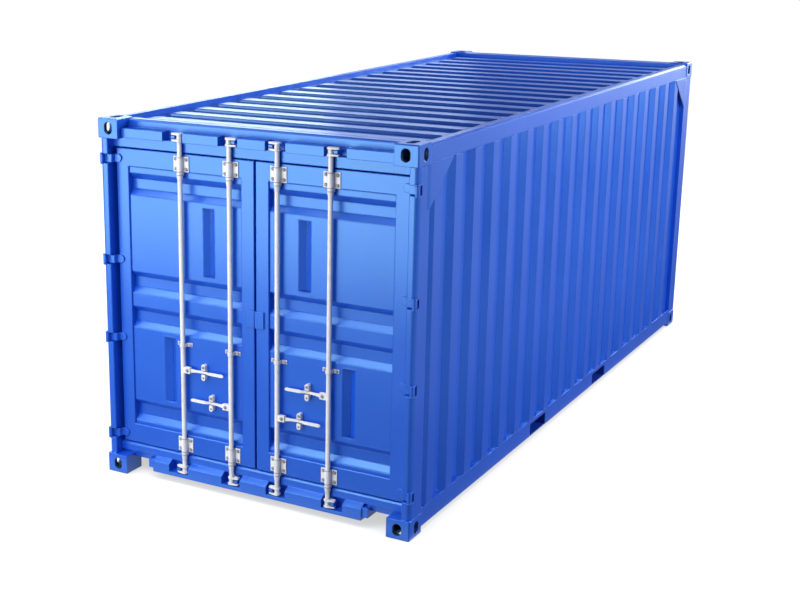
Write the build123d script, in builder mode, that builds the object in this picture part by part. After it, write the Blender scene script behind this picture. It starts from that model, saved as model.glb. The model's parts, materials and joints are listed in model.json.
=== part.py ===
from build123d import *
from math import cos, pi, sin
import os

# Twenty-foot freight container with double doors at one end.
# Millimetres, +Z up, origin under the middle of the base, doors at -Y, +X to the right of someone facing them.
# A depth is measured back from the casting faces at the door end.

os.makedirs("parts", exist_ok=True)

# Overall size
length = 6058
width = 2438
height = 2591

# Corner castings
casting_x = 168
casting_y = 178
casting_z = 138
casting_outer_wall = 26
casting_inner_wall = 12
casting_bevel = 7
casting_hole_from_side = 89.5
casting_hole_from_end = 102.5
casting_hole_width = 64
casting_hole_height = 84
casting_slot_length = 124
casting_slot_width = 64

# How far the frame stays inside the faces of the castings
side_set_in = 4
top_set_in = 11
base_set_in = 43

# Sheet steel
sheet = 2
plate = 6

# Sides of the full polygon at the end of a slot that repeats
slot_end_sides = 12

# Rear corner posts: a front leg beside the doors, rounded back to the box that carries the side wall
leg_from_side = 31
leg_width = 37
leg_front = 14
leg_bevel = 5
corner_sides = 4
box_front = 52
stop_width = 55
stop_thickness = 24

# Door leaves
leaf_thickness = 56
leaf_side_gap = 23
leaf_end_gap = 9
leaf_gap = 14
stile_width = 100
leaf_top_rail = 125
leaf_bottom_rail = 143
frame_bevel = 4

# Pressed door panels
panel_recess = 12
channel_depth = 40
channel_height = 156
channel_slope = 42
channel_low_margin = 28
channel_high_margin = 45
channel_pair_spread = 252
groove_width = 96
groove_depth = 38
groove_margin = 33
groove_from_inner = 268
groove_from_outer = 317

# Door gaskets
gasket_width = 18
gasket_proud = 8
gasket_inset = 10
gasket_clearance = 6

# Hinges
hinge_from_side = 16
hinge_depth = 18
hinge_low_inset = 64
hinge_high_inset = 72
hinge_pair_spread = 571
pin_radius = 10
pin_fit = 0.4
knuckle_radius = 14
blade_height = 56
blade_thickness = 11
blade_front = 40
blade_reach = 47
blade_tip_bevel = 18
lug_thickness = 10
lug_fit = 2
lug_bevel = 8
hinge_notch_room = 15
hinge_notch_clearance = 6

# Lock bars, each with a two-jawed cam on a core at both ends
inner_bar_x = 185
bar_spacing = 395
bar_nose = (-1, 1, -1, 1)
bar_stand_off = 22
bar_radius = 16.5
cam_height = 56
cam_jaw = 13
cam_hub = 23
cam_core = 18
cam_core_sides = 8
cam_reach = 58
cam_tip = 22

# Keepers between the jaws, in notches that are open at the front
keeper_gap = 5
keeper_near = 27
keeper_far = 56
keeper_set_in = 6
cam_room = 6
outer_notch_nose_side = 124
outer_notch_back_side = 39
inner_notch_nose_side = 79
inner_notch_back_side = 73

# Bar brackets and guides
bracket_inset = 70
bracket_width = 122
bracket_height = 104
bracket_plate = 6
collar_length = 24
guide_drop = 265
guide_width = 122
guide_height = 26
saddle_fit = 0.75
saddle_wall = 4.5

# Handles and their catches
handle_heights = (865, 650, 650, 865)
handle_end_gap = 62
handle_height = 17
handle_thickness = 9
handle_crank = 12
hub_length = 46
hub_height = 44
hub_thickness = 26
neck_length = 40
neck_height = 28
grip_length = 122
grip_height = 21
catch_width = 30
catch_height = 116
catch_slot = 32
catch_stand = 34
catch_plate = 8
catch_from_grip = 44

# Meeting plates over the gap between the leaves
meeting_half_width = 72
meeting_height = 118
meeting_thickness = 12
meeting_gap = 5

# Door header
header_height = 191
header_back = 200
header_ledge_drop = 56
header_block_height = 64
header_block_stand = 44
header_block_end = 103
header_lip_front = 130
header_lip_round = 16
header_cam_drop = 2

# Door sill
sill_top = 222
sill_back = 200
sill_bevel = 14
sill_lip = 62
sill_recess = 20
sill_body_bottom = 112
sill_bar_bottom = 76
sill_bar_top = 142
sill_bar_end = 261
sill_bar_front = 52
sill_block_bottom = 54
sill_block_top = 134
sill_block_stand = 44
sill_block_back = 140
sill_block_end = 306
sill_notch_floor = 80
sill_cam_gap = 8

# Side and end rails
top_rail_height = 120
top_rail_depth = 62
top_rail_wall = 4
top_rail_bevel = 14
bottom_rail_top = 171
bottom_rail_flange = 50
end_rail_depth = 100

# Corrugated walls
wall_pitch = 310
wall_crest = 104
wall_slope = 52
wall_depth = 36
wall_first_crest = 74
front_pitch = 280
front_crest = 96
front_slope = 46
front_depth = 44

# Roof
roof_drop = 46
roof_rise = 20
roof_pitch = 308
roof_ridge_length = 150
roof_ridge_margin = 70
roof_ridge_slope = 40

# Corner gussets
gusset_length = 345
gusset_height = 285

# Floor and underframe
floor_thickness = 28
floor_clearance = 3
member_width = 45
member_height = 116
member_wall = 5
member_pitch = 306
pocket_y = 726
pocket_width = 328
pocket_top = 142

# Planes that several pieces share
half_length = length / 2
half_width = width / 2
frame_x = half_width - side_set_in
rail_top = height - top_set_in
rail_low = rail_top - top_rail_height
rail_half = half_length - casting_y
rail_end = half_length - side_set_in
casting_inner_x = half_width - casting_x
post_bottom = casting_z
post_top = height - casting_z
leg_outer = half_width - leg_from_side
leg_inner = leg_outer - leg_width
stop_inner = leg_inner - stop_width
stop_front = casting_y - stop_thickness
leaf_back = stop_front - gasket_clearance - gasket_proud
leaf_front = leaf_back - leaf_thickness
leaf_outer = leg_inner - leaf_side_gap
leaf_inner = leaf_gap / 2
header_bottom = rail_top - header_height
header_ledge = rail_top - header_ledge_drop
leaf_bottom = sill_top + leaf_end_gap
leaf_top = header_bottom - leaf_end_gap
leaf_middle = (leaf_bottom + leaf_top) / 2
panel_front = leaf_front + panel_recess
panel_bottom = leaf_bottom + leaf_bottom_rail
panel_top = leaf_top - leaf_top_rail
window_inner = leaf_inner + stile_width
window_outer = leaf_outer - stile_width
hinge_x = half_width - hinge_from_side
hinge_heights = (leaf_bottom + hinge_low_inset, leaf_middle - hinge_pair_spread / 2,
                 leaf_middle + hinge_pair_spread / 2, leaf_top - hinge_high_inset)
outer_bar_x = inner_bar_x + bar_spacing
handle_length = bar_spacing - handle_end_gap
catch_reach = handle_length - grip_length - catch_from_grip
bar_x = (-outer_bar_x, -inner_bar_x, inner_bar_x, outer_bar_x)
bar_depth = leaf_front - bar_stand_off
saddle = bar_radius + saddle_fit + saddle_wall
bar_low = sill_notch_floor + sill_cam_gap
bar_high = header_ledge - header_cam_drop
cam_floor = bar_depth + cam_reach + cam_room
sides = {"left": -1, "right": 1}


def behind(depth):
    # Y of a plane this far behind the casting faces at the door end
    return depth - half_length


def keep(builder, name):
    builder.part.label = name
    export_step(builder.part, f"parts/{name}.step")


def block(x, y, z, mode=Mode.ADD):
    # A box between two values on each axis
    middle = [(low + high) / 2 for low, high in (x, y, z)]
    with Locations(tuple(middle)):
        Box(abs(x[1] - x[0]), abs(y[1] - y[0]), abs(z[1] - z[0]), mode=mode)


def plan(points, bottom, top, mode=Mode.ADD):
    # A prism on an outline of (x, y) points
    with BuildSketch(Plane.XY.offset(bottom)) as outline:
        with BuildLine():
            Polyline(*points, close=True)
        make_face()
    extrude(outline.sketch, amount=top - bottom, dir=(0, 0, 1), mode=mode)


def section(points, left, right, mode=Mode.ADD):
    # A bar across the width on an outline of (y, z) points
    with BuildSketch(Plane.YZ.offset(left)) as outline:
        with BuildLine():
            Polyline(*points, close=True)
        make_face()
    extrude(outline.sketch, amount=right - left, dir=(1, 0, 0), mode=mode)


def flat_sided_slot(slot_length, slot_width):
    # A slot along X with ends of a few flat sides, for what repeats often
    for end_sign in (-1, 1):
        with Locations((end_sign * (slot_length - slot_width) / 2, 0)):
            RegularPolygon(slot_width / 2, slot_end_sides, major_radius=False, rotation=180 / slot_end_sides)
    Rectangle(slot_length - slot_width, slot_width)


def corrugation(start, end, first_crest, pitch, crest, slope, depth):
    # (along, inward) points of a pressed sheet that starts and ends in a valley
    count = int((end - start - first_crest - crest - slope) // pitch) + 1
    line = [(start, depth)]
    for number in range(count):
        along = start + first_crest + number * pitch
        line += [(along - slope, depth), (along, 0), (along + crest, 0), (along + crest + slope, depth)]
    return line + [(end, depth)]


def strap(x, seat, centre_z, strap_width, strap_height, collar):
    # A strap over a bar: two ears on the seat, and a hoop that may run on below them as a collar
    low, high = centre_z - strap_height / 2, centre_z + strap_height / 2
    for ear_sign in (-1, 1):
        block((x, x + ear_sign * strap_width / 2), (behind(seat - bracket_plate), behind(seat)), (low, high))
    with BuildSketch(Plane.XY.offset(low - collar)) as hoop:
        with Locations((x, behind(bar_depth))):
            Circle(saddle)
            Rectangle(2 * saddle, leaf_front - bar_depth, align=(Align.CENTER, Align.MIN))
    extrude(hoop.sketch, amount=strap_height + collar, dir=(0, 0, 1))
    if seat > leaf_front:
        block((x - saddle, x + saddle), (behind(leaf_front), behind(seat)), (low, high))
    with BuildSketch(Plane.XY.offset(low - collar)) as bore:
        with Locations((x, behind(bar_depth))):
            Circle(bar_radius + saddle_fit)
            Rectangle(2 * (bar_radius + saddle_fit), seat - bar_depth, align=(Align.CENTER, Align.MIN))
    extrude(bore.sketch, amount=strap_height + collar, dir=(0, 0, 1), mode=Mode.SUBTRACT)


def cam_notch(x, nose):
    # The two edges of the notch that a cam turns in
    if abs(x) == outer_bar_x:
        return x - nose * outer_notch_back_side, x + nose * outer_notch_nose_side
    return x - nose * inner_notch_back_side, x + nose * inner_notch_nose_side


def add_keepers(cam_bottom):
    # A block on the nose side of each bar, between the jaws of its cam
    for x, nose in zip(bar_x, bar_nose):
        block((x + nose * keeper_near, x + nose * keeper_far),
              (behind(bar_depth - cam_hub + keeper_set_in), behind(cam_floor)),
              (cam_bottom + cam_jaw + keeper_gap, cam_bottom + cam_height - cam_jaw - keeper_gap))


# Corner castings: hollow blocks with an upright hole in each outer wall and a slot above or below
for end, end_sign in {"rear": -1, "front": 1}.items():
    for level, level_sign in {"bottom": -1, "top": 1}.items():
        for side, side_sign in sides.items():
            centre_x = side_sign * (half_width - casting_x / 2)
            centre_y = end_sign * (half_length - casting_y / 2)
            centre_z = height / 2 + level_sign * (height - casting_z) / 2
            face_z = centre_z + level_sign * casting_z / 2
            with BuildPart() as casting:
                with Locations((centre_x, centre_y, centre_z)):
                    Box(casting_x, casting_y, casting_z)
                corner = Vector(side_sign * half_width, end_sign * half_length)
                outer_edge = casting.edges().filter_by(Axis.Z).sort_by(
                    lambda edge: (Vector(edge.center().X, edge.center().Y) - corner).length)[0]
                rim = casting.faces().sort_by(Axis.Z)[-1 if level_sign > 0 else 0].edges()
                chamfer([outer_edge] + list(rim), casting_bevel)
                block((side_sign * (half_width - casting_outer_wall),
                       side_sign * (casting_inner_x + casting_inner_wall)),
                      (end_sign * (half_length - casting_outer_wall),
                       end_sign * (rail_half + casting_inner_wall)),
                      (face_z - level_sign * casting_outer_wall,
                       face_z - level_sign * (casting_z - casting_inner_wall)), mode=Mode.SUBTRACT)
                hole_x = side_sign * (half_width - casting_hole_from_side)
                hole_y = end_sign * (half_length - casting_hole_from_end)
                end_plane = Plane((hole_x, end_sign * half_length, centre_z),
                                  x_dir=(0, 0, 1), z_dir=(0, end_sign, 0))
                side_plane = Plane((side_sign * half_width, hole_y, centre_z),
                                   x_dir=(0, 0, 1), z_dir=(side_sign, 0, 0))
                slot_plane = Plane((hole_x, hole_y, face_z), x_dir=(0, 1, 0), z_dir=(0, 0, level_sign))
                with BuildSketch(end_plane, side_plane):
                    flat_sided_slot(casting_hole_height, casting_hole_width)
                with BuildSketch(slot_plane):
                    flat_sided_slot(casting_slot_length, casting_slot_width)
                extrude(amount=-casting_outer_wall, mode=Mode.SUBTRACT)
            keep(casting, f"corner_casting_{end}_{level}_{side}")

# Rear corner posts, notched where the hinge blades and lugs sit, with lugs and pins on their rounded corner
strap_back = blade_front + blade_thickness
lug_outer = hinge_x + knuckle_radius
post_outline = [(leg_inner, leg_front + leg_bevel), (leg_inner + leg_bevel, leg_front)]
for step in range(corner_sides + 1):
    turn = pi / 2 * step / corner_sides
    post_outline.append((leg_outer + (frame_x - leg_outer) * sin(turn),
                         box_front - (box_front - leg_front) * cos(turn)))
post_outline += [(frame_x, casting_y), (stop_inner, casting_y), (stop_inner, stop_front),
                 (leg_inner, stop_front)]
for side, s in sides.items():
    with BuildPart() as rear_post:
        plan([(s * x, behind(depth)) for x, depth in post_outline], post_bottom, post_top)
        blade_room = blade_height / 2 + hinge_notch_clearance
        lug_room = blade_height / 2 + lug_fit + lug_thickness
        for hinge_z in hinge_heights:
            block((s * stop_inner, s * half_width), (behind(0), behind(strap_back + hinge_notch_room)),
                  (hinge_z - blade_room, hinge_z + blade_room), mode=Mode.SUBTRACT)
            block((s * leg_outer, s * half_width), (behind(0), behind(box_front)),
                  (hinge_z - lug_room, hinge_z + lug_room), mode=Mode.SUBTRACT)
    keep(rear_post, f"rear_corner_post_{side}")

    with BuildPart() as lugs:
        for hinge_z in hinge_heights:
            for lug_sign in (-1, 1):
                with BuildSketch(Plane.XY.offset(hinge_z + lug_sign * (blade_height / 2 + lug_fit))) as lug:
                    with BuildLine():
                        Polyline((s * leg_outer, behind(hinge_depth - knuckle_radius)),
                                 (s * lug_outer, behind(hinge_depth - knuckle_radius)),
                                 (s * lug_outer, behind(box_front)), (s * leg_outer, behind(box_front)),
                                 close=True)
                    make_face()
                    chamfer(lug.vertices().group_by(Axis.Y)[0], lug_bevel)
                extrude(amount=lug_sign * lug_thickness)
            with Locations((s * hinge_x, behind(hinge_depth), hinge_z)):
                Cylinder(pin_radius, blade_height + 2 * lug_fit)
    keep(lugs, f"hinge_lugs_{side}")

# Front corner posts
for side, s in sides.items():
    with BuildPart() as front_post:
        block((s * casting_inner_x, s * frame_x), (rail_half, rail_end), (post_bottom, post_top))
        chamfer(front_post.edges().filter_by(Axis.Z).sort_by(
            lambda edge: s * edge.center().X + edge.center().Y)[-1], casting_bevel)
    keep(front_post, f"front_corner_post_{side}")

# Door header: a beam with a raised strip, notched for the cams
header_face = leaf_front
with BuildPart() as header:
    lip_y = behind(header_lip_front)
    with BuildSketch(Plane.YZ.offset(-leg_inner)):
        with BuildLine():
            Polyline((behind(header_face), header_bottom), (behind(header_face), header_ledge),
                     (lip_y, header_ledge), (lip_y, rail_top - header_lip_round))
            RadiusArc((lip_y, rail_top - header_lip_round), (lip_y + header_lip_round, rail_top),
                      header_lip_round)
            Polyline((lip_y + header_lip_round, rail_top), (behind(header_back), rail_top),
                     (behind(header_back), header_bottom), (behind(header_face), header_bottom))
        make_face()
    extrude(amount=2 * leg_inner)
    block_half = leg_inner - header_block_end
    block_y = behind(header_face - header_block_stand)
    block((-block_half, block_half), (block_y, behind(header_face)),
          (header_ledge - header_block_height, header_ledge))
    for x, nose in zip(bar_x, bar_nose):
        block(cam_notch(x, nose), (block_y, behind(cam_floor)),
              (header_ledge - header_block_height, header_ledge), mode=Mode.SUBTRACT)
    add_keepers(bar_high - cam_height)
    for s in sides.values():
        block((s * casting_inner_x, s * half_width), (behind(0), behind(casting_y)),
              (post_top, height), mode=Mode.SUBTRACT)
        block((s * stop_inner, s * half_width), (behind(stop_front), behind(casting_y)),
              (header_bottom, post_top), mode=Mode.SUBTRACT)
        block((s * casting_inner_x, s * half_width), (behind(casting_y), behind(header_back)),
              (header_bottom, height), mode=Mode.SUBTRACT)
keep(header, "door_header")

# Door sill: a beam under the leaves, with a stepped bar and a notched strip that hang below it
sill_face = leaf_front
with BuildPart() as sill:
    lip_bottom = sill_top - sill_lip
    lower_face = behind(sill_face + sill_recess)
    section([(behind(sill_face), lip_bottom), (behind(sill_face), sill_top - sill_bevel),
             (behind(sill_face + sill_bevel), sill_top), (behind(sill_back), sill_top),
             (behind(sill_back), sill_body_bottom), (lower_face, sill_body_bottom),
             (lower_face, lip_bottom)], -leg_inner, leg_inner)
    bar_half = leg_inner - sill_bar_end
    block((-bar_half, bar_half), (behind(sill_bar_front), behind(sill_back)), (sill_bar_bottom, sill_bar_top))
    block_half = leg_inner - sill_block_end
    block_y = behind(sill_face - sill_block_stand)
    section([(block_y, sill_block_bottom), (block_y, sill_block_top),
             (behind(sill_face), lip_bottom), (behind(sill_block_back), lip_bottom),
             (behind(sill_block_back), sill_block_bottom)], -block_half, block_half)
    for x, nose in zip(bar_x, bar_nose):
        block(cam_notch(x, nose), (block_y, behind(cam_floor)),
              (sill_notch_floor, lip_bottom), mode=Mode.SUBTRACT)
    add_keepers(bar_low)
    for s in sides.values():
        block((s * casting_inner_x, s * half_width), (behind(0), behind(casting_y)),
              (0, post_bottom), mode=Mode.SUBTRACT)
        block((s * stop_inner, s * half_width), (behind(stop_front), behind(casting_y)),
              (post_bottom, sill_top), mode=Mode.SUBTRACT)
        block((s * casting_inner_x, s * half_width), (behind(casting_y), behind(sill_back)),
              (0, sill_top), mode=Mode.SUBTRACT)
keep(sill, "door_sill")

# Rails at the blind end
with BuildPart() as front_top_rail:
    block((-casting_inner_x, casting_inner_x), (rail_half, rail_end), (rail_low, rail_top))
    chamfer(front_top_rail.faces().sort_by(Axis.Z)[-1].edges().sort_by(Axis.Y)[-1], top_rail_bevel)
keep(front_top_rail, "front_top_rail")

with BuildPart() as front_bottom_rail:
    block((-casting_inner_x, casting_inner_x), (rail_end - end_rail_depth, rail_end),
          (base_set_in, bottom_rail_top))
keep(front_bottom_rail, "front_bottom_rail")

# Side rails: a hollow rail along the top, a channel along the bottom with fork openings
for side, s in sides.items():
    with BuildPart() as top_rail:
        inner = frame_x - top_rail_depth
        with BuildSketch(Plane.XZ.offset(-rail_half)):
            with BuildLine():
                Polyline((s * inner, rail_low), (s * frame_x, rail_low),
                         (s * frame_x, rail_top - top_rail_bevel), (s * (frame_x - top_rail_bevel), rail_top),
                         (s * inner, rail_top), close=True)
            make_face()
            offset(amount=-top_rail_wall, mode=Mode.SUBTRACT)
        extrude(amount=2 * rail_half)
    keep(top_rail, f"top_side_rail_{side}")

    with BuildPart() as bottom_rail:
        flange = (s * (frame_x - bottom_rail_flange), s * frame_x)
        block(flange, (-rail_half, rail_half), (base_set_in, bottom_rail_top))
        block((s * (frame_x - bottom_rail_flange), s * (frame_x - plate)), (-rail_half, rail_half),
              (base_set_in + plate, bottom_rail_top - plate), mode=Mode.SUBTRACT)
        for y in (-pocket_y, pocket_y):
            block(flange, (y - pocket_width / 2, y + pocket_width / 2), (base_set_in, pocket_top),
                  mode=Mode.SUBTRACT)
    keep(bottom_rail, f"bottom_side_rail_{side}")

# Corrugated side walls
for side, s in sides.items():
    with BuildPart() as side_wall:
        face = corrugation(-rail_half, rail_half, wall_first_crest,
                           wall_pitch, wall_crest, wall_slope, wall_depth)
        outside = [(s * (frame_x - inward), along) for along, inward in face]
        inside = [(s * (frame_x - inward - sheet), along) for along, inward in reversed(face)]
        plan(outside + inside, bottom_rail_top, rail_low)
    keep(side_wall, f"side_wall_{side}")

# Corrugated wall at the blind end
with BuildPart() as front_wall:
    spare = (2 * casting_inner_x - front_crest - 2 * front_slope) % front_pitch
    face = corrugation(-casting_inner_x, casting_inner_x, front_slope + spare / 2,
                       front_pitch, front_crest, front_slope, front_depth)
    outside = [(along, rail_end - inward) for along, inward in face]
    inside = [(along, rail_end - inward - sheet) for along, inward in reversed(face)]
    plan(outside + inside, bottom_rail_top, rail_low)
keep(front_wall, "front_wall")

# Roof: one sheet with pressed ridges across it
roof_half_x = frame_x - top_rail_depth
roof_rear = behind(header_back)
roof_middle = (roof_rear + rail_half) / 2
roof_level = rail_top - roof_drop
roof_count = int((rail_half - roof_rear - roof_ridge_length) // roof_pitch) + 1
with BuildPart() as roof_form:
    block((-roof_half_x, roof_half_x), (roof_rear, rail_half), (rail_low, roof_level))
    with BuildSketch(Plane.XY.offset(roof_level)):
        with Locations((0, roof_middle)):
            with GridLocations(roof_pitch, roof_pitch, 1, roof_count):
                Rectangle(2 * (roof_half_x - roof_ridge_margin), roof_ridge_length)
    extrude(amount=roof_rise, taper=roof_ridge_slope)
with BuildPart() as roof:
    add(roof_form.part)
    add(roof_form.part.moved(Location((0, 0, -sheet))), mode=Mode.SUBTRACT)
keep(roof, "roof_panel")

# Gussets between the posts and the top side rails
with BuildPart() as gussets:
    for s in sides.values():
        for end_sign in (-1, 1):
            with BuildSketch(Plane.YZ.offset(s * frame_x)):
                with BuildLine():
                    Polyline((end_sign * rail_half, rail_low),
                             (end_sign * (rail_half - gusset_length), rail_low),
                             (end_sign * rail_half, rail_low - gusset_height), close=True)
                make_face()
            extrude(amount=s * side_set_in)
keep(gussets, "corner_gussets")

# Floor boards on cross members
floor_x = frame_x - wall_depth - sheet - floor_clearance
floor_front = rail_end - front_depth - sheet - floor_clearance
floor_level = bottom_rail_top + floor_thickness
with BuildPart() as floor:
    block((-floor_x, floor_x), (behind(sill_back), floor_front), (bottom_rail_top, floor_level))
    for s in sides.values():
        block((s * (casting_inner_x - floor_clearance), s * half_width),
              (rail_half - floor_clearance, half_length), (bottom_rail_top, floor_level), mode=Mode.SUBTRACT)
keep(floor, "floor_boards")

member_reach = frame_x - bottom_rail_flange
member_count = int((2 * rail_half - member_width) // member_pitch)
with BuildPart() as members:
    for number in range(member_count):
        y = (number - (member_count - 1) / 2) * member_pitch
        if min(abs(y - pocket_y), abs(y + pocket_y)) > (pocket_width + member_width) / 2 + plate:
            rear, front = y - member_width / 2, y + member_width / 2
            top, bottom = bottom_rail_top, bottom_rail_top - member_height
            section([(rear, top), (front, top), (front, top - member_wall),
                     (rear + member_wall, top - member_wall), (rear + member_wall, bottom + member_wall),
                     (front, bottom + member_wall), (front, bottom), (rear, bottom)],
                    -member_reach, member_reach)
keep(members, "cross_members")

# Fork pockets: tunnels across the underframe
with BuildPart() as pockets:
    for y in (-pocket_y, pocket_y):
        for end_sign in (-1, 1):
            inner = y + end_sign * pocket_width / 2
            block((-member_reach, member_reach), (inner, inner + end_sign * plate),
                  (bottom_rail_top - member_height, bottom_rail_top))
        block((-member_reach, member_reach), (y - pocket_width / 2, y + pocket_width / 2),
              (pocket_top, pocket_top + plate))
keep(pockets, "fork_pockets")

# Door leaves
low_channel = panel_bottom + channel_low_margin + channel_height / 2
high_channel = panel_top - channel_high_margin - channel_height / 2
channel_heights = (low_channel, leaf_middle - channel_pair_spread / 2,
                   leaf_middle + channel_pair_spread / 2, high_channel)
groove_reach = channel_height / 2 + groove_margin
low_groove = (channel_heights[0] + groove_reach, channel_heights[1] - groove_reach)
high_groove = (channel_heights[2] + groove_reach, channel_heights[3] - groove_reach)
for side, s in sides.items():
    door_bars = [row for row in zip(bar_x, bar_nose, handle_heights) if row[0] * s > 0]

    with BuildPart() as door_frame:
        block((s * leaf_inner, s * leaf_outer), (behind(leaf_front), behind(leaf_back)),
              (leaf_bottom, leaf_top))
        block((s * window_inner, s * window_outer), (behind(leaf_front), behind(leaf_back)),
              (panel_bottom, panel_top), mode=Mode.SUBTRACT)
        chamfer(door_frame.faces().sort_by(Axis.Y)[0].edges(), frame_bevel)
    keep(door_frame, f"door_frame_{side}")

    with BuildPart() as door_panel:
        face, bed = behind(panel_front), behind(panel_front + channel_depth)
        front_line = [(face, panel_bottom)]
        for z in channel_heights:
            low, high = z - channel_height / 2, z + channel_height / 2
            front_line += [(face, low), (bed, low + channel_slope), (bed, high - channel_slope), (face, high)]
        front_line.append((face, panel_top))
        back_line = [(y + sheet, z) for y, z in reversed(front_line)]
        section(front_line + back_line, min(s * window_inner, s * window_outer),
                max(s * window_inner, s * window_outer))
        bed = behind(panel_front + groove_depth)
        for x, (low, high) in ((s * (window_inner + groove_from_inner), high_groove),
                               (s * (window_outer - groove_from_outer), low_groove)):
            left, right = x - groove_width / 2, x + groove_width / 2
            block((left, right), (face, face + sheet), (low, high), mode=Mode.SUBTRACT)
            plan([(left, face), (left, face + sheet), (x, bed + sheet), (right, face + sheet),
                  (right, face), (x, bed)], low, high)
            for end_z in (low, high - sheet):
                plan([(left, face + sheet), (x, bed + sheet), (right, face + sheet), (right, face),
                      (left, face)], end_z, end_z + sheet)
    keep(door_panel, f"door_panel_{side}")

    with BuildPart() as gasket:
        low_y, high_y = behind(leaf_back), behind(leaf_back + gasket_proud)
        for inset, mode in ((gasket_inset, Mode.ADD), (gasket_inset + gasket_width, Mode.SUBTRACT)):
            block((s * (leaf_inner + inset), s * (leaf_outer - inset)), (low_y, high_y),
                  (leaf_bottom + inset, leaf_top - inset), mode=mode)
    keep(gasket, f"door_gasket_{side}")

    with BuildPart() as blades:
        tongue_front = leaf_front - blade_thickness
        neck_inner = hinge_x - knuckle_radius
        neck_outer = hinge_x + knuckle_radius / 2
        blade_tip = leaf_outer - blade_reach
        outline = [(blade_tip, leaf_front), (blade_tip, tongue_front), (leaf_outer, tongue_front),
                   (leaf_outer + blade_thickness, blade_front), (neck_inner, blade_front),
                   (neck_inner, hinge_depth), (neck_outer, hinge_depth), (neck_outer, strap_back),
                   (leaf_outer + 2 * blade_thickness, strap_back), (leaf_outer + blade_thickness, leaf_front)]
        for hinge_z in hinge_heights:
            plan([(s * x, behind(depth)) for x, depth in outline],
                 hinge_z - blade_height / 2, hinge_z + blade_height / 2)
            with Locations((s * hinge_x, behind(hinge_depth), hinge_z)):
                Cylinder(knuckle_radius, blade_height)
                Cylinder(pin_radius + pin_fit, blade_height, mode=Mode.SUBTRACT)
        tips = blades.faces().filter_by(Axis.X).group_by(Axis.X)[0 if s > 0 else -1].edges().filter_by(Axis.Y)
        chamfer(tips, blade_tip_bevel)
    keep(blades, f"hinge_blades_{side}")

    with BuildPart() as brackets:
        for x, *_ in door_bars:
            for centre_z in (leaf_bottom + bracket_inset, leaf_top - bracket_inset):
                strap(x, leaf_front, centre_z, bracket_width, bracket_height, collar_length)
            strap(x, panel_front, leaf_middle - guide_drop, guide_width, guide_height, 0)
    keep(brackets, f"bar_brackets_{side}")

    with BuildPart() as catches:
        for x, nose, z in door_bars:
            catch_x = x - nose * catch_reach
            with BuildSketch(Plane((catch_x, behind(panel_front), z), x_dir=(0, 0, 1), z_dir=(0, -1, 0))):
                flat_sided_slot(catch_height, catch_width)
            extrude(amount=catch_stand)
            block((catch_x - catch_width, catch_x + catch_width),
                  (behind(panel_front - catch_stand), behind(panel_front - catch_plate)),
                  (z - catch_slot / 2, z + catch_slot / 2), mode=Mode.SUBTRACT)
    keep(catches, f"handle_catches_{side}")

    with BuildPart() as meeting_plate:
        block((s * meeting_gap / 2, s * meeting_half_width),
              (behind(leaf_front - meeting_thickness), behind(leaf_front)),
              (leaf_middle - meeting_height / 2, leaf_middle + meeting_height / 2))
    keep(meeting_plate, f"meeting_plate_{side}")

# Lock bars with a cam at each end, and the handles that turn them
bar_y = behind(bar_depth)
for number, (x, nose, z) in enumerate(zip(bar_x, bar_nose, handle_heights), start=1):
    with BuildPart() as lock_bar:
        with Locations((x, bar_y, (bar_low + bar_high) / 2)):
            Cylinder(bar_radius, bar_high - bar_low)
        for cam_bottom in (bar_low, bar_high - cam_height):
            with BuildSketch(Plane.XY.offset(cam_bottom)):
                with Locations((x, bar_y)):
                    RegularPolygon(cam_core, cam_core_sides, major_radius=False, rotation=180 / cam_core_sides)
            extrude(amount=cam_height)
            for jaw_bottom in (cam_bottom, cam_bottom + cam_height - cam_jaw):
                half = [(-cam_hub, cam_hub / 2), (-cam_hub / 2, cam_hub), (cam_hub / 2, cam_hub),
                        (cam_reach, cam_tip / 2)]
                jaw = half + [(along, -across) for along, across in reversed(half)]
                plan([(x + nose * along, bar_y + across) for along, across in jaw],
                     jaw_bottom, jaw_bottom + cam_jaw)
    keep(lock_bar, f"lock_bar_{number}")

    # From above a handle is cranked towards the door at its catch; from the front it has a hub and a grip
    with BuildPart() as handle:
        hub_end = bar_radius + hub_length
        crank_start, crank_end = catch_reach - catch_width / 2, catch_reach + catch_width / 2
        grip_start = handle_length - grip_length
        half = handle_thickness / 2
        line = [(hub_end, 0), (crank_start, handle_crank), (crank_end, handle_crank), (grip_start, 0),
                (handle_length, 0)]
        outline = [(0, -hub_thickness / 2), (hub_end, -hub_thickness / 2)]
        outline += [(along, inward - half) for along, inward in line]
        outline += [(along, inward + half) for along, inward in reversed(line)]
        outline += [(hub_end, hub_thickness / 2), (0, hub_thickness / 2)]
        plan([(x - nose * along, bar_y + inward) for along, inward in outline],
             z - hub_height / 2, z + hub_height / 2)
        upper = [(0, hub_height / 2), (hub_end, hub_height / 2), (hub_end, neck_height / 2),
                 (hub_end + neck_length, handle_height / 2), (grip_start, handle_height / 2),
                 (grip_start + grip_height / 2, grip_height / 2),
                 (handle_length - grip_height / 2, grip_height / 2), (handle_length, grip_height / 4)]
        profile = upper + [(along, -rise) for along, rise in reversed(upper)]
        with BuildSketch(Plane.XZ.offset(-bar_y + hub_thickness)) as side_view:
            with BuildLine():
                Polyline(*[(x - nose * along, z + rise) for along, rise in profile], close=True)
            make_face()
        extrude(side_view.sketch, amount=2 * hub_thickness, dir=(0, 1, 0), mode=Mode.INTERSECT)
        with Locations((x, bar_y, z)):
            Cylinder(bar_radius, hub_height, mode=Mode.SUBTRACT)
    keep(handle, f"handle_{number}")
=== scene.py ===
import json
import math

import bmesh
import bpy
from mathutils import Matrix, Vector


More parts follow.
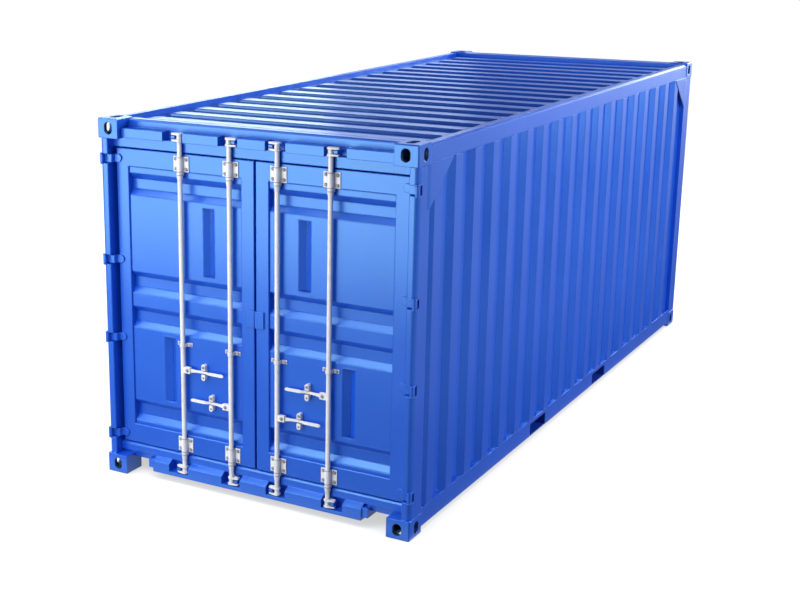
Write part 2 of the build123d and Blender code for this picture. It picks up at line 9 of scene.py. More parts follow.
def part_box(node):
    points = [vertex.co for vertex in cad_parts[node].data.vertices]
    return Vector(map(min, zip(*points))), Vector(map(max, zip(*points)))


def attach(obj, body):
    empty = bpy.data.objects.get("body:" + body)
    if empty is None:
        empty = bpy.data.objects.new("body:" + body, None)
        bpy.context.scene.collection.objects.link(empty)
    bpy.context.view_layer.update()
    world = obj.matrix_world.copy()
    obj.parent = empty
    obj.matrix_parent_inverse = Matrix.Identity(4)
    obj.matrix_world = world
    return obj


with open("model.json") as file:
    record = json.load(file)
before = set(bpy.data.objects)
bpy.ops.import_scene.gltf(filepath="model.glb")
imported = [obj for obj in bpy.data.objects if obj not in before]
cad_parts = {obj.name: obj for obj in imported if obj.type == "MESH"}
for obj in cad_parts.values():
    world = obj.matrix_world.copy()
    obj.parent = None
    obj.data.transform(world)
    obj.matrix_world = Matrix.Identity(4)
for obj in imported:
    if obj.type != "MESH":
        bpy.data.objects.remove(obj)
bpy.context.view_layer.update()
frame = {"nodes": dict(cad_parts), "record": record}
print("frame loaded:", len(frame["nodes"]), "nodes")


class Wire:                                    # a socket that takes part in plain arithmetic
    def __init__(self, recipe, socket):
        self.recipe, self.socket = recipe, socket

    def join(self, operation, first, second):
        return self.recipe.node("ShaderNodeMath", {"operation": operation}, {0: first, 1: second})["Value"]

    def __add__(self, other): return self.join("ADD", self, other)
    def __radd__(self, other): return self.join("ADD", other, self)
    def __sub__(self, other): return self.join("SUBTRACT", self, other)
    def __rsub__(self, other): return self.join("SUBTRACT", other, self)
    def __mul__(self, other): return self.join("MULTIPLY", self, other)
    def __rmul__(self, other): return self.join("MULTIPLY", other, self)
    def __truediv__(self, other): return self.join("DIVIDE", self, other)
    def __rtruediv__(self, other): return self.join("DIVIDE", other, self)
    def __mod__(self, other): return self.join("FLOORED_MODULO", self, other)
    def __rmod__(self, other): return self.join("FLOORED_MODULO", other, self)
    def __or__(self, other): return self.join("MAXIMUM", self, other)
    def __ror__(self, other): return self.join("MAXIMUM", other, self)
    def __lt__(self, other): return self.join("LESS_THAN", self, other)
    def __gt__(self, other): return self.join("GREATER_THAN", self, other)


class Recipe:                                  # the nodes of one material, or of the world
    def __init__(self, owner):
        owner.use_nodes = True
        self.owner, self.tree = owner, owner.node_tree
        self.tree.nodes.clear()

    def node(self, kind, settings=None, sockets=None):
        made = self.tree.nodes.new(kind)
        for name, value in (settings or {}).items():
            setattr(made, name, value)
        for name, value in (sockets or {}).items():
            if isinstance(value, Wire):
                self.tree.links.new(value.socket, made.inputs[name])
            else:
                made.inputs[name].default_value = value
        return {out.name: Wire(self, out) for out in made.outputs if out.enabled}

    def place(self):                           # rest position of the piece, m
        return self.node("ShaderNodeTexCoord")["Object"]

    def stretched(self, place, scale):
        return self.node("ShaderNodeMapping", None, {"Vector": place, "Scale": scale})["Vector"]

    def noise(self, place, scale, detail, rough=0.5):
        return self.node("ShaderNodeTexNoise", None,
                         {"Vector": place, "Scale": scale, "Detail": detail, "Roughness": rough})["Fac"]

    def blend(self, amount, first, second):
        return self.node("ShaderNodeMix", {"data_type": "RGBA"}, {0: amount, 6: first, 7: second})["Result"]

    def band(self, value, low, high):          # 0 below low, 1 above high
        return self.node("ShaderNodeMapRange", {"interpolation_type": "SMOOTHSTEP"},
                         {"Value": value, "From Min": low, "From Max": high})["Result"]

    def openness(self, reach, samples=6, ownOnly=False):   # 1 in the open, 0 deep in a corner
        return self.node("ShaderNodeAmbientOcclusion", {"samples": samples, "only_local": ownOnly},
                         {"Distance": reach})["AO"]

    def rounded(self, radius):                 # normal of an edge that is softened by this radius, m
        return self.node("ShaderNodeBevel", {"samples": 6}, {"Radius": radius})["Normal"]

    def bump(self, height, distance, strength, under=None):
        sockets = {"Height": height, "Distance": distance, "Strength": strength}
        if under:
            sockets["Normal"] = under
        return self.node("ShaderNodeBump", None, sockets)["Normal"]

    def relief(self, place, look, under=None):   # noise that stands up from the surface
        return self.bump(self.noise(place, *look["noise"]), look["height"], look["strength"], under)

    def finish(self, **sockets):
        named = {name.replace("_", " "): value for name, value in sockets.items()}
        shader = self.node("ShaderNodeBsdfPrincipled", None, named)["BSDF"]
        self.node("ShaderNodeOutputMaterial", None, {"Surface": shader})
        return self.owner


def rgb(red, green, blue):
    return (red, green, blue, 1.0)


# In the looks below a noise is (scale, detail, roughness), and a pair ending in From, Turn, Speck,
# Height or Open gives the two levels between which something fades in or out.
bluePaint = {
    "colour": rgb(0.0060, 0.077, 0.605),
    "thin": rgb(0.0086, 0.087, 0.635),         # where the coat is a little thinner
    "cloud": (1.7, 4.0, 0.6),
    "thinFrom": (0.35, 0.70),
    "speck": (38.0, 3.0, 0.65),
    "wearAndHighlight": rgb(0.084, 0.320, 0.900),        # lighter along the edges: wear, and partly a painted highlight
    "wearAndHighlightTurn": (0.03, 0.30),                # 1 - cosine of the turn of the surface
    "wearAndHighlightSpeck": (0.40, 0.62),
    "wearAndHighlightShare": 0.30,
    "dust": rgb(0.150, 0.230, 0.560),          # low down
    "dustHeight": (0.02, 0.50),                # m above the ground
    "dustSpeck": (0.42, 0.78),
    "dustShare": 0.08,
    "dustRough": 0.15,
    "paintedShade": rgb(0.002, 0.006, 0.022),         # painted shade deep in the castings
    "paintedShadeReach": 0.14,
    "paintedShadeOpen": (0.45, 0.92),
    "paintedShadeShare": 0.0,
    "paintedShadeRough": 0.6,
    "roughness": 0.30,
    "roughSpread": 0.10,
    "ior": 1.70,
    "glossTint": rgb(0.33, 0.72, 1.0),         # fine flakes in the coat tint what it mirrors
    "glossLevel": 1.0,
    "edge": 0.006,                             # radius of softened edges, m
    "wave": {"noise": (2.6, 1.0), "height": 0.0015, "strength": 0.30},      # waves in the steel
    "peel": {"noise": (420.0, 1.0), "height": 0.00008, "strength": 0.5},    # sprayed texture
}
pressedSheet = {**bluePaint, "edge": 0.012}    # folds are rounder
# the castings carry painted shade in their hollows
casting = {**bluePaint, "paintedShadeShare": 0.9}
# a darker coat, painted shade inside the fork pockets
paintedShadeCoat = {**bluePaint, "colour": rgb(0.005, 0.034, 0.360), "thin": rgb(0.007, 0.042, 0.400)}


def makeBluePaint(name, look):
    paint = Recipe(bpy.data.materials.new(name))
    place = paint.place()
    height = paint.node("ShaderNodeSeparateXYZ", None, {"Vector": place})["Z"]
    cloud, speck = paint.noise(place, *look["cloud"]), paint.noise(place, *look["speck"])
    soft = paint.rounded(look["edge"])
    flat = paint.node("ShaderNodeNewGeometry")["Normal"]
    turn = paint.node("ShaderNodeVectorMath", {"operation": "DOT_PRODUCT"}, {0: soft, 1: flat})["Value"]
    # lighter edges, partly wear and partly a painted highlight
    wearAndHighlight = paint.band(1.0 - turn, *look["wearAndHighlightTurn"]) * paint.band(speck, *look["wearAndHighlightSpeck"])
    dust = (1.0 - paint.band(height, *look["dustHeight"])) * paint.band(speck, *look["dustSpeck"])
    colour = paint.blend(paint.band(cloud, *look["thinFrom"]), look["colour"], look["thin"])
    colour = paint.blend(wearAndHighlight * look["wearAndHighlightShare"], colour, look["wearAndHighlight"])
    colour = paint.blend(dust * look["dustShare"], colour, look["dust"])
    gloss = look["roughness"] + (cloud - 0.5) * look["roughSpread"] + dust * look["dustRough"]
    # painted shade: darker and rougher where the piece's own shape closes in
    if look["paintedShadeShare"]:
        opened = paint.band(paint.openness(look["paintedShadeReach"], ownOnly=True), *look["paintedShadeOpen"])
        paintedShade = (1.0 - opened) * look["paintedShadeShare"]
        colour = paint.blend(paintedShade, colour, look["paintedShade"])
        gloss = gloss + paintedShade * look["paintedShadeRough"]
    waved = paint.relief(place, look["wave"], soft)
    return paint.finish(Base_Color=colour, Roughness=gloss, Normal=paint.relief(place, look["peel"], waved),
                        IOR=look["ior"], Specular_Tint=look["glossTint"],
                        Specular_IOR_Level=look["glossLevel"])


whiteGear = {
    "colour": rgb(0.83, 0.84, 0.86),
    "shade": rgb(0.72, 0.735, 0.76),
    "cloud": (14.0, 3.0, 0.6),
    "shadeFrom": (0.45, 0.75),
    "bare": rgb(0.30, 0.31, 0.33),             # chips through the coat
    "speck": (160.0, 2.0, 0.6),
    "bareFrom": (0.66, 0.74),
    "bareShare": 0.5,
    "paintedShade": rgb(0.090, 0.095, 0.120),         # painted shade round the feet of bolts and in the seams
    "paintedShadeReach": 0.020,
    "paintedShadeOpen": (0.30, 0.80),
    "paintedShadeShare": 0.75,
    "roughness": 0.30,
    "roughSpread": 0.2,
    "edge": 0.003,
    "speckHeight": 0.0003,
    "speckStrength": 0.25,
}
zincPlate = {**whiteGear, "colour": rgb(0.30, 0.31, 0.34), "shade": rgb(0.20, 0.21, 0.24)}


def makeWhiteGear(name, look):
    coat = Recipe(bpy.data.materials.new(name))
    place = coat.place()
    cloud, speck = coat.noise(place, *look["cloud"]), coat.noise(place, *look["speck"])
    # painted shade where nearby surfaces close in
    paintedShade = 1.0 - coat.band(coat.openness(look["paintedShadeReach"]), *look["paintedShadeOpen"])
    colour = coat.blend(coat.band(cloud, *look["shadeFrom"]), look["colour"], look["shade"])
    colour = coat.blend(coat.band(speck, *look["bareFrom"]) * look["bareShare"], colour, look["bare"])
    colour = coat.blend(paintedShade * look["paintedShadeShare"], colour, look["paintedShade"])
    grain = coat.bump(speck, look["speckHeight"], look["speckStrength"], coat.rounded(look["edge"]))
    return coat.finish(Base_Color=colour, Roughness=look["roughness"] + (cloud - 0.5) * look["roughSpread"],
                       Normal=grain)


doorRubber = {
    "colour": rgb(0.009, 0.014, 0.034),
    "chalk": rgb(0.024, 0.034, 0.060),         # where it has weathered
    "cloud": (22.0, 4.0, 0.65),
    "chalkFrom": (0.45, 0.75),
    "roughness": 0.62,
    "roughSpread": 0.2,
    "grain": {"noise": (900.0, 1.0), "height": 0.0003, "strength": 0.4},
}


def makeDoorRubber(name, look):
    rubber = Recipe(bpy.data.materials.new(name))
    place = rubber.place()
    cloud = rubber.noise(place, *look["cloud"])
    colour = rubber.blend(rubber.band(cloud, *look["chalkFrom"]), look["colour"], look["chalk"])
    return rubber.finish(Base_Color=colour, Roughness=look["roughness"] + cloud * look["roughSpread"],
                         Normal=rubber.relief(place, look["grain"]))


plyFloor = {
    "pale": rgb(0.330, 0.178, 0.080),
    "dark": rgb(0.150, 0.070, 0.028),
    "seam": rgb(0.018, 0.012, 0.008),
    "screw": rgb(0.200, 0.200, 0.205),
    "start": (3.0, 6.12),                      # whole boards and sheets before the middle, m
    "board": 0.300,                            # width of a board across the floor, m
    "sheet": 1.224,                            # length between the cross seams, m
    "gap": 0.004,
    "screwPitch": (0.150, 0.306),              # across, and along from one cross member to the next
    "screwRadius": 0.007,
    "grain": {"stretch": (30.0, 1.6, 30.0), "noise": (2.0, 6.0, 0.62), "share": 0.7},
    "boardShare": 0.4,                         # how much the boards differ
    "darkFrom": (0.25, 0.85),
    "fibre": {"stretch": (220.0, 7.0, 220.0), "noise": (2.0, 3.0, 0.6), "share": 0.4},
    "fibreFrom": (0.55, 0.75),
    "relief": {"fibre": 0.5, "screw": 0.4, "height": 0.002, "strength": 0.5},
    "roughness": 0.48,
    "grainRough": 0.2,
    "screwShine": 0.2,
}


def makePlyFloor(name, look):
    ply = Recipe(bpy.data.materials.new(name))
    place = ply.place()
    axes = ply.node("ShaderNodeSeparateXYZ", None, {"Vector": place})
    startX, startY = look["start"]
    across, along = axes["X"] + startX, axes["Y"] + startY
    board = ply.node("ShaderNodeMath", {"operation": "FLOOR"}, {0: across / look["board"]})["Value"]
    stagger = (board % 2.0) * (look["sheet"] / 2)
    seam = (across % look["board"] < look["gap"]) | ((along + stagger) % look["sheet"] < look["gap"])
    pitchX, pitchY = look["screwPitch"]
    offX = across % pitchX - pitchX / 2
    offY = (along + pitchY / 2) % pitchY - pitchY / 2
    screw = offX * offX + offY * offY < look["screwRadius"] ** 2
    tone = ply.node("ShaderNodeTexWhiteNoise", {"noise_dimensions": "1D"}, {"W": board})["Value"]
    grain = ply.noise(ply.stretched(place, look["grain"]["stretch"]), *look["grain"]["noise"])
    fibre = ply.noise(ply.stretched(place, look["fibre"]["stretch"]), *look["fibre"]["noise"])
    streaks = grain * look["grain"]["share"] + tone * look["boardShare"]
    colour = ply.blend(ply.band(streaks, *look["darkFrom"]), look["pale"], look["dark"])
    colour = ply.blend(ply.band(fibre, *look["fibreFrom"]) * look["fibre"]["share"], colour, look["dark"])
    colour = ply.blend(seam, colour, look["seam"])
    colour = ply.blend(screw, colour, look["screw"])
    relief = look["relief"]
    raised = ply.bump(fibre * relief["fibre"] - seam - screw * relief["screw"],
                      relief["height"], relief["strength"])
    gloss = look["roughness"] + grain * look["grainRough"] - screw * look["screwShine"]
    return ply.finish(Base_Color=colour, Roughness=gloss, Normal=raised)


finishes = {
    "body_paint": makeBluePaint("bluePaint", bluePaint),
    "hardware_white": makeWhiteGear("whiteGear", whiteGear),
    "seal_rubber": makeDoorRubber("doorRubber", doorRubber),
    "floor_plywood": makePlyFloor("plyFloor", plyFloor),
}
pressedPaint = makeBluePaint("bluePressedSheet", pressedSheet)
castingPaint = makeBluePaint("blueCasting", casting)
shadedPaint = makeBluePaint("bluePaintedShadeCoat", paintedShadeCoat)
zincBolt = makeWhiteGear("zincBolt", zincPlate)
pressedNodes = ("side_wall_left", "side_wall_right", "front_wall", "roof_panel",
                "door_panel_left", "door_panel_right")
for subpart in frame["record"]["subparts"]:
    mesh = frame["nodes"][subpart["node"]].data
    mesh.materials.clear()
    if subpart["node"] in pressedNodes:
        mesh.materials.append(pressedPaint)
    elif subpart["node"].startswith("corner_casting"):
        mesh.materials.append(castingPaint)
    else:
        mesh.materials.append(finishes[subpart["material_slot"]])

creaseAngle = math.radians(38)                 # edges sharper than this stay sharp


def newPiece(name, body, slotName, finish, fill, *given):   # fill draws the mesh, with what is given
    grown = bmesh.new()
    fill(grown, *given)
    bmesh.ops.recalc_face_normals(grown, faces=grown.faces)
    mesh = bpy.data.meshes.new(name)
    grown.to_mesh(mesh)
    grown.free()
    mesh.shade_smooth()
    mesh.set_sharp_from_angle(angle=creaseAngle)
    mesh.materials.append(finish)
    piece = bpy.data.objects.new(name, mesh)
    bpy.context.scene.collection.objects.link(piece)
    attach(piece, body)


def around(sides):                             # angles once round
    return [2 * math.pi * step / sides for step in range(sides)]


def skin(grown, rings, closed=False):          # a tube through rings of as many points each
    rows = [[grown.verts.new(point) for point in ring] for ring in rings]
    count = len(rows[0])
    for low, high in zip(rows, rows[1:] + rows[:1] if closed else rows[1:]):
        for step in range(count):
            after = (step + 1) % count
            grown.faces.new((low[step], low[after], high[after], high[step]))
    if not closed:
        grown.faces.new(list(reversed(rows[0])))
        grown.faces.new(rows[-1])


def slab(grown, low, high):                    # a plain block between two corners
    skin(grown, [[(low[0], low[1], z), (high[0], low[1], z), (high[0], high[1], z), (low[0], high[1], z)]
                 for z in (low[2], high[2])])


def turned(grown, seat, facing, outline, sides, spin=0.0):   # outline: (radius, height) from the seat out
    stand = Matrix.Translation(seat) @ Vector(facing).to_track_quat("Z", "Y").to_matrix().to_4x4()
    skin(grown, [[stand @ Vector((radius * math.cos(spin + angle), radius * math.sin(spin + angle), height))
                  for angle in around(sides)] for radius, height in outline])


boltShape = {                                  # (radius, height), each in radii of the head
    "washer": ((1.45, -0.1), (1.45, 0.14), (1.34, 0.22)),
    "washerSides": 24,
    "head": ((1.0, 0.0), (1.0, 0.62), (0.9, 0.74), (0.76, 0.80)),
    "headSides": 6,
}


def bolt(grown, seat, facing, size, spin):     # size: radius of the head
    for layer, turn in (("washer", 0.0), ("head", spin)):
        outline = [(size * radius, size * height) for radius, height in boltShape[layer]]
        turned(grown, seat, facing, outline, boltShape[f"{layer}Sides"], turn)


rivetShape = {"sunk": 0.2, "rise": 0.6, "rings": 7, "sides": 20}   # in radii of the head


def rivet(grown, seat, facing, size):          # a domed head
    look = rivetShape
    slopes = [math.pi / 2 * ring / look["rings"] for ring in range(look["rings"])]
    dome = [(size * math.cos(slope), size * look["rise"] * math.sin(slope)) for slope in slopes]
    turned(grown, seat, facing, [(size, -size * look["sunk"])] + dome, look["sides"])


# lengths of the solids that the small pieces sit on, m
outward = Vector((0, -1, 0))                   # the way the closed doors face
downward = Vector((0, 0, -1))
leafBars = {"left": (1, 2), "right": (3, 4)}
barX = {1: -0.580, 2: -0.185, 3: 0.185, 4: 0.580}
barY = -2.967
bracketZ = (0.301, 2.310)
catchSide = {1: 1, 2: -1, 3: 1, 4: -1}         # the side of its bar that a handle lies on
handleZ = {number: sum(corner.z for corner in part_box(f"handle_{number}")) / 2 for number in barX}
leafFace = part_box("door_frame_left")[0].y      # front of the closed leaves

leafBolts = {                                  # spin: radians per m, so that no two heads stand alike
    "bracket": {"size": 0.0090, "sideways": 0.0430, "upwards": 0.0340, "plate": 0.006, "spin": (40, 25)},
    "guide": {"size": 0.0080, "sideways": 0.0460, "face": -2.939, "height": 1.0405, "spin": 30},
}


def addLeafBolts(grown, side, look):
    bracket, guide = look["bracket"], look["guide"]
    spinX, spinZ = bracket["spin"]
    for number in leafBars[side]:
        for height in bracketZ:
            for dx in (-bracket["sideways"], bracket["sideways"]):
                for dz in (-bracket["upwards"], bracket["upwards"]):
                    seat = (barX[number] + dx, leafFace - bracket["plate"], height + dz)
                    bolt(grown, seat, outward, bracket["size"], dx * spinX + dz * spinZ)
        for dx in (-guide["sideways"], guide["sideways"]):
            seat = (barX[number] + dx, guide["face"], guide["height"])
            bolt(grown, seat, outward, guide["size"], dx * guide["spin"])


barHoops = {
    "inner": 0.0205,
    "outer": 0.0228,
    "height": 0.0035,
    "offsets": (0.046, -0.050, -0.072),        # from the middle of a bracket
    "sides": 32,
}


def addBarHoops(grown, side, look):            # thin dark hoops round the saddles of the brackets
    inner, outer, top = look["inner"], look["outer"], look["height"]
    section = [(inner, 0), (inner, top), (outer, top), (outer, 0)]
    for number in leafBars[side]:
        for foot in [height + offset for height in bracketZ for offset in look["offsets"]]:
            middle = Vector((barX[number], barY, foot))
            skin(grown, [[middle + Vector((radius * math.cos(angle), radius * math.sin(angle), z))
                          for angle in around(look["sides"])] for radius, z in section], closed=True)


catchBolts = {"size": 0.0080, "reach": 0.167, "upwards": 0.038, "spin": 0.3}


def addCatchBolts(grown, side, look):          # a bolt above each handle and a rivet below it
    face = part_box(f"handle_catches_{side}")[0].y
    for number in leafBars[side]:
        x = barX[number] + catchSide[number] * look["reach"]
        bolt(grown, (x, face, handleZ[number] + look["upwards"]), outward, look["size"], look["spin"])
        rivet(grown, (x, face, handleZ[number] - look["upwards"]), outward, look["size"])


handleBolt = {"size": 0.0090, "reach": 0.041, "spin": 0.4}


def addHandleBolt(grown, number, look):        # through the hub of a handle
    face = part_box(f"handle_{number}")[0].y
    x = barX[number] + catchSide[number] * look["reach"]
    bolt(grown, (x, face, handleZ[number]), outward, look["size"], number * look["spin"])


barCones = {"top": 0.0210, "bottom": 0.0178, "collar": 0.004, "length": 0.030, "drop": 0.077, "sides": 28}


def addBarCones(grown, number, look):          # the tapered sleeve under each bracket
    outline = [(look["top"], 0), (look["top"], look["collar"]), (look["bottom"], look["length"])]
    for height in bracketZ:
        turned(grown, (barX[number], barY, height - look["drop"]), downward, outline, look["sides"])


for side in leafBars:
    leaf = f"door_{side}"
    newPiece(f"barHoops_{side}", leaf, "hardware_white", zincBolt, addBarHoops, side, barHoops)
    newPiece(f"leafBolts_{side}", leaf, "hardware_white", zincBolt, addLeafBolts, side, leafBolts)
    newPiece(f"catchBolts_{side}", leaf, "hardware_white", zincBolt, addCatchBolts, side, catchBolts)
for number in barX:
    bar, whiteCoat = f"lock_bar_{number}", finishes["hardware_white"]
    newPiece(f"handleBolt_{number}", bar, "hardware_white", zincBolt, addHandleBolt, number, handleBolt)
    newPiece(f"barCones_{number}", bar, "hardware_white", whiteCoat, addBarCones, number, barCones)
print("door gear dressed")

forkPocket = {
    "middle": 0.726,                           # from the middle of the container, m
    "width": 0.328,
    "top": 0.1415,
    "depth": 0.300,
    "plate": 0.0045,
    "faceInset": 0.0005,                       # behind the face of the rail
    "mouthLap": 0.0005,                        # into the mouth
    "railLap": 0.003,                          # past the back of the rail
    "tunnelLap": 0.001,                        # past the foot of the tunnel
}


def addForkPocketEnds(grown, look):            # plates that close the rail and the tunnel round each mouth
    low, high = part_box("bottom_side_rail_right")
    face, back = high.x - look["faceInset"], low.x - look["railLap"]
    deep, half, floor = face - look["depth"], look["width"] / 2, low.z + look["plate"]
    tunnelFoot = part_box("fork_pockets")[0].z + look["tunnelLap"]
    for way in (-1, 1):
        for middle in (-look["middle"], look["middle"]):   # a strap below the mouth
            slab(grown, (way * deep, middle - half, low.z), (way * face, middle + half, floor))
            for end in (-1, 1):                # cheek in the rail, and a strip at the foot of the tunnel
                near, far = middle + end * (half - look["mouthLap"]), middle + end * (half + look["plate"])
                slab(grown, (way * back, near, floor), (way * face, far, look["top"]))
                slab(grown, (way * deep, near, floor), (way * back, far, tunnelFoot))


weldBead = {"pitch": 1.1, "ripple": 0.16, "rippleRate": 2.6, "ends": 0.55, "sides": 8}   # in its radii


def bead(grown, start, end, radius):           # a rippled bead along a straight seam
    look, start, run = weldBead, Vector(start), Vector(end) - Vector(start)
    steps = max(2, round(run.length / (radius * look["pitch"])))
    turn = run.to_track_quat("Z", "Y").to_matrix()
    rings = []
    for step in range(steps + 1):
        along = run.length * step / steps
        size = radius * (1.0 + look["ripple"] * math.sin(along / radius * look["rippleRate"]))
        if step in (0, steps):
            size *= look["ends"]
        centre = start + run * step / steps
        rings.append([centre + turn @ Vector((size * math.cos(angle), size * math.sin(angle), 0))
                      for angle in around(look["sides"])])
    skin(grown, rings)


frameWelds = {
    "radius": 0.0045,
    "sunk": 0.002,                             # how far a bead lies inside a face, m
    "corner": 0.008,                           # where it stops short of a corner
    "rearFace": (1.153, 1.186),                # ends beside the doors, from the middle
    "rearSide": 0.042,                         # start on the flank, from the face
    "frontFace": 1.051,                        # start on the blind end, from the middle
    "gussetRadius": 0.0036,
    "gussetSunk": 0.0042,
    "gussetTop": (0.340, 0.006),               # in from the post, and below the rail
    "gussetFoot": (0.006, 0.005),              # in from the post, and above the point
}
bothSides = (("left", -1), ("right", 1))


def addFrameWelds(grown, look):
    radius, sunk, corner = look["radius"], look["sunk"], look["corner"]
    startX, endX = look["rearFace"]
    for side, way in bothSides:                # where the rear posts meet their castings
        low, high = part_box(f"rear_corner_post_{side}")
        flank = (high.x if way > 0 else low.x) - way * sunk
        for z in (low.z, high.z):
            bead(grown, (way * startX, low.y, z), (way * endX, low.y, z), radius)
            bead(grown, (flank, low.y + look["rearSide"], z), (flank, high.y, z), radius)
    for side, way in bothSides:                # and the front posts theirs
        low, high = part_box(f"front_corner_post_{side}")
        outer, face = high.x if way > 0 else low.x, high.y - sunk
        flank = outer - way * sunk
        for z in (low.z, high.z):
            bead(grown, (way * look["frontFace"], face, z), (outer - way * corner, face, z), radius)
            bead(grown, (flank, high.y - corner, z), (flank, low.y, z), radius)
    low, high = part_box("corner_gussets")
    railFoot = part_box("top_side_rail_left")[0].z
    (topIn, topDown), (footIn, footUp) = look["gussetTop"], look["gussetFoot"]
    for way in (-1, 1):
        x = way * (high.x - look["gussetSunk"])
        for end in (-1, 1):                    # along the sloping edge of each gusset
            bead(grown, (x, end * (high.y - topIn), railFoot - topDown),
                 (x, end * (high.y - footIn), low.z + footUp), look["gussetRadius"])


groundWelds = {"width": 0.040, "depth": 0.0048, "faceInset": 0.00002}


def addGroundWelds(grown, look):               # filled and ground flush, where a gusset meets its post
    low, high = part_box("corner_gussets")
    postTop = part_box("rear_corner_post_left")[1].z
    for way in (-1, 1):
        face, root = way * (high.x - look["faceInset"]), way * (high.x - look["depth"])
        for end in (-1, 1):
            near, far = end * high.y, end * (high.y + look["width"])
            skin(grown, [[(face, near, z), (root, near, z), (root, far, z)] for z in (low.z, postTop)])


blueCoat = finishes["body_paint"]
# the pocket plates are painted darker as painted shade
newPiece("forkPocketEnds", "root", "body_paint", shadedPaint, addForkPocketEnds, forkPocket)
newPiece("frameWelds", "root", "body_paint", blueCoat, addFrameWelds, frameWelds)
newPiece("groundWelds", "root", "body_paint", blueCoat, addGroundWelds, groundWelds)
print("fork pockets closed and welds laid")

# the photograph's viewing angle
view = {"azimuth": 31.017, "elevation": 15.074, "distance": 9.6655, "target": (0.0, -2.6679, 1.3776),
        "sensor": 36.0, "lens": 63.31, "shiftX": 0.1545, "clipEnd": 400.0}


def addCamera(look):
    azimuth, elevation = math.radians(look["azimuth"]), math.radians(look["elevation"])
    back = Vector((math.sin(azimuth) * math.cos(elevation), -math.cos(azimuth) * math.cos(elevation),
                   math.sin(elevation)))
    camera = bpy.data.objects.new("camera", bpy.data.cameras.new("camera"))
    camera.data.sensor_width = look["sensor"]
    camera.data.lens = look["lens"]
    camera.data.shift_x = look["shiftX"]
    camera.data.clip_end = look["clipEnd"]
    camera.location = Vector(look["target"]) + back * look["distance"]
    camera.rotation_euler = (-back).to_track_quat("-Z", "Y").to_euler()
    bpy.context.scene.collection.objects.link(camera)
    bpy.context.scene.camera = camera


lamps = {                                      # places, aims and sizes in m, power in W, spread in degrees
    "frontBox": {"place": (-2.4, -7.0, 2.15), "aim": (-1.5, -3.0, 2.15), "size": (6.0, 3.2), "power": 216.0},
    "overDoorBox": {"place": (-1.4, -5.4, 4.8), "aim": (-1.4, -5.4, 0.0), "size": (5.2, 2.4), "power": 128.0,
                    "spread": 105.0},
    "sideBox": {"place": (8.8, 0.6, 4.2), "aim": (1.2, 0.0, 1.2), "size": (4.0, 3.0), "power": 730.0},
    "leftBox": {"place": (-8.8, 1.6, 4.2), "aim": (-1.2, 0.6, 1.2), "size": (4.0, 3.0), "power": 547.0},
    "backBox": {"place": (2.6, 10.0, 3.6), "aim": (0.0, 3.0, 1.3), "size": (4.0, 3.0), "power": 302.0},
    "highBox": {"place": (0.5, 9.0, 11.0), "aim": (0.0, -1.0, 2.6), "size": (4.0, 4.0), "power": 864.0},
    "roofBox": {"place": (-4.6, -3.9, 7.4), "aim": (-0.8, -1.8, 2.6), "size": (2.6, 3.0), "power": 105.0},
    "sheenBox": {"place": (-8.0, 8.4, 4.5), "aim": (-0.8, -2.0, 2.6), "size": (4.2, 1.6), "power": 145.0,
                 "tint": (0.76, 0.88, 1.0)},
    "sheenEdge": {"place": (-5.1, 9.9, 4.5), "aim": (-0.6, -2.0, 2.6), "size": (2.0, 1.6), "power": 22.0,
                  "tint": (0.76, 0.88, 1.0)},
}


def addLamp(name, look):
    lamp = bpy.data.lights.new(name, "AREA")
    lamp.shape = "RECTANGLE"
    lamp.size, lamp.size_y = look["size"]
    lamp.energy = look["power"]
    lamp.color = look.get("tint", (1.0, 1.0, 1.0))
    lamp.spread = math.radians(look.get("spread", 180.0))
    holder = bpy.data.objects.new(name, lamp)
    holder.location = look["place"]
    holder.visible_camera = False
    holder.rotation_euler = (Vector(look["aim"]) - Vector(look["place"])).to_track_quat("-Z", "Y").to_euler()
    bpy.context.scene.collection.objects.link(holder)


white = rgb(1.0, 1.0, 1.0)
black = rgb(0.0, 0.0, 0.0)
studio = {
    "sky": rgb(0.62, 0.72, 0.95),
    "skyStrength": 0.15,                       # overhead, fading towards the horizon
    "skyRise": (0.22, 0.60),                   # heights as sines, where it comes in
    "horizonRise": (0.066, 0.22),              # where the white band that mirrors see ends
    "floorSize": 240.0,
    "floorColour": rgb(0.24, 0.24, 0.25),      # as it lights the container
    "floorGlow": 1.00,                         # as it is seen
    "shade": rgb(0.58, 0.58, 0.58),            # contact shade under the container
    "shadeReach": 0.55,                        # how far it spreads, m
    "shadeOpen": (0.05, 0.95),
    "shadeSamples": 8,
    "flagLift": 0.004,
    "flags": {                                 # grey cards on the floor that only gloss sees
        "rightFoot": {"low": (1.24, -12.0), "high": (2.2, 18.0), "tone": 0.16},
        "rightNear": {"low": (2.2, -12.0), "high": (3.6, 18.0), "tone": 0.32},
        "right": {"low": (3.6, -12.0), "high": (9.5, 18.0), "tone": 0.50},
        "farRight": {"low": (9.5, -12.0), "high": (60.0, 18.0), "tone": 0.12},
        "front": {"low": (-10.0, -12.0), "high": (1.24, -3.25), "tone": 0.46},
    },
}


def seenDirectly(recipe):                      # camera, mirror and glass rays
    path = recipe.node("ShaderNodeLightPath")
    return path["Is Camera Ray"] | path["Is Glossy Ray"] | path["Is Transmission Ray"]


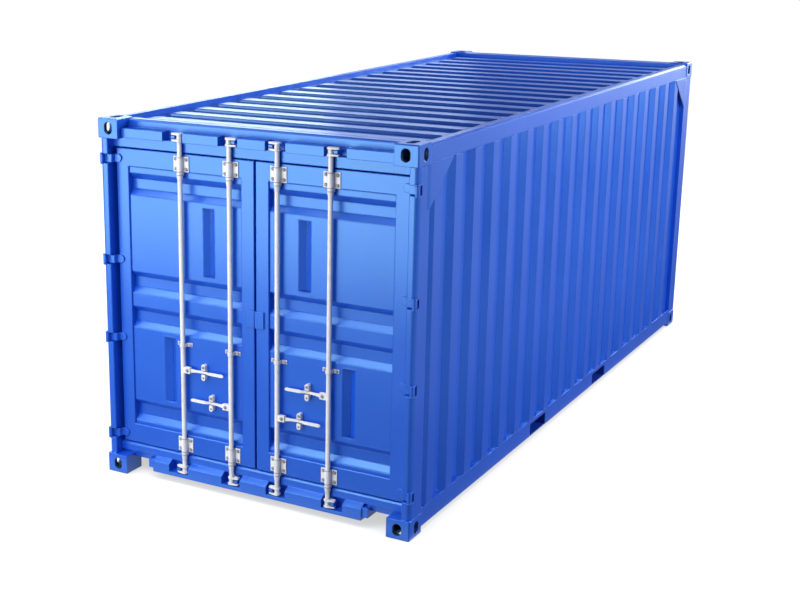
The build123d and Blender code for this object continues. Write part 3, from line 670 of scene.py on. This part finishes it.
def addWorld(look):                            # white behind the container, a faint sky for its light
    world = bpy.data.worlds.new("studio")
    bpy.context.scene.world = world
    sky = Recipe(world)
    facing = sky.node("ShaderNodeTexCoord")["Generated"]
    rise = sky.node("ShaderNodeSeparateXYZ", None, {"Vector": facing})["Z"]
    tone = sky.blend(sky.band(rise, *look["skyRise"]), black, look["sky"])
    dim = sky.node("ShaderNodeBackground", None, {"Color": tone, "Strength": look["skyStrength"]})
    plain = sky.node("ShaderNodeBackground", None, {"Color": white, "Strength": 1.0})
    low = 1.0 - sky.band(rise, *look["horizonRise"])
    shown = (seenDirectly(sky) * low) | sky.node("ShaderNodeLightPath")["Is Camera Ray"]
    both = sky.node("ShaderNodeMixShader", None, {0: shown, 1: dim["Background"], 2: plain["Background"]})
    sky.node("ShaderNodeOutputWorld", None, {"Surface": both["Shader"]})


def flatSheet(name, low, high, lift):          # a mesh of one face at this height
    (lowX, lowY), (highX, highY) = low, high
    corners = [(lowX, lowY, lift), (highX, lowY, lift), (highX, highY, lift), (lowX, highY, lift)]
    mesh = bpy.data.meshes.new(name)
    mesh.from_pydata(corners, [], [(0, 1, 2, 3)])
    return mesh


def addFloor(look):
    half = look["floorSize"] / 2
    mesh = flatSheet("floor", (-half, -half), (half, half), 0.0)
    floor = bpy.data.objects.new("floor", mesh)
    bpy.context.scene.collection.objects.link(floor)
    paper = Recipe(bpy.data.materials.new("studioFloor"))
    opened = paper.band(paper.openness(look["shadeReach"], look["shadeSamples"]), *look["shadeOpen"])
    tone = paper.blend(opened, look["shade"], white)
    matt = paper.node("ShaderNodeBsdfDiffuse", None, {"Color": look["floorColour"]})["BSDF"]
    glow = paper.node("ShaderNodeEmission", None, {"Color": tone, "Strength": look["floorGlow"]})["Emission"]
    lit = paper.node("ShaderNodeAddShader", None, {0: matt, 1: glow})["Shader"]
    both = paper.node("ShaderNodeMixShader", None, {0: seenDirectly(paper), 1: matt, 2: lit})["Shader"]
    paper.node("ShaderNodeOutputMaterial", None, {"Surface": both})
    mesh.materials.append(paper.owner)


def addFlag(name, look, lift):                 # keeps the bright floor out of the gloss of a wall
    mesh = flatSheet(name, look["low"], look["high"], lift)
    card = Recipe(bpy.data.materials.new(name))
    grey = card.node("ShaderNodeEmission", None, {"Color": white, "Strength": look["tone"]})["Emission"]
    card.node("ShaderNodeOutputMaterial", None, {"Surface": grey})
    mesh.materials.append(card.owner)
    flag = bpy.data.objects.new(name, mesh)
    flag.visible_camera = flag.visible_diffuse = flag.visible_shadow = False
    bpy.context.scene.collection.objects.link(flag)


addCamera(view)
for lampName, lampLook in lamps.items():
    addLamp(lampName, lampLook)
addWorld(studio)
addFloor(studio)
for flagName, flagLook in studio["flags"].items():
    addFlag(f"{flagName}Flag", flagLook, studio["flagLift"])
bpy.context.scene.view_settings.view_transform = "Standard"
print("studio lit")
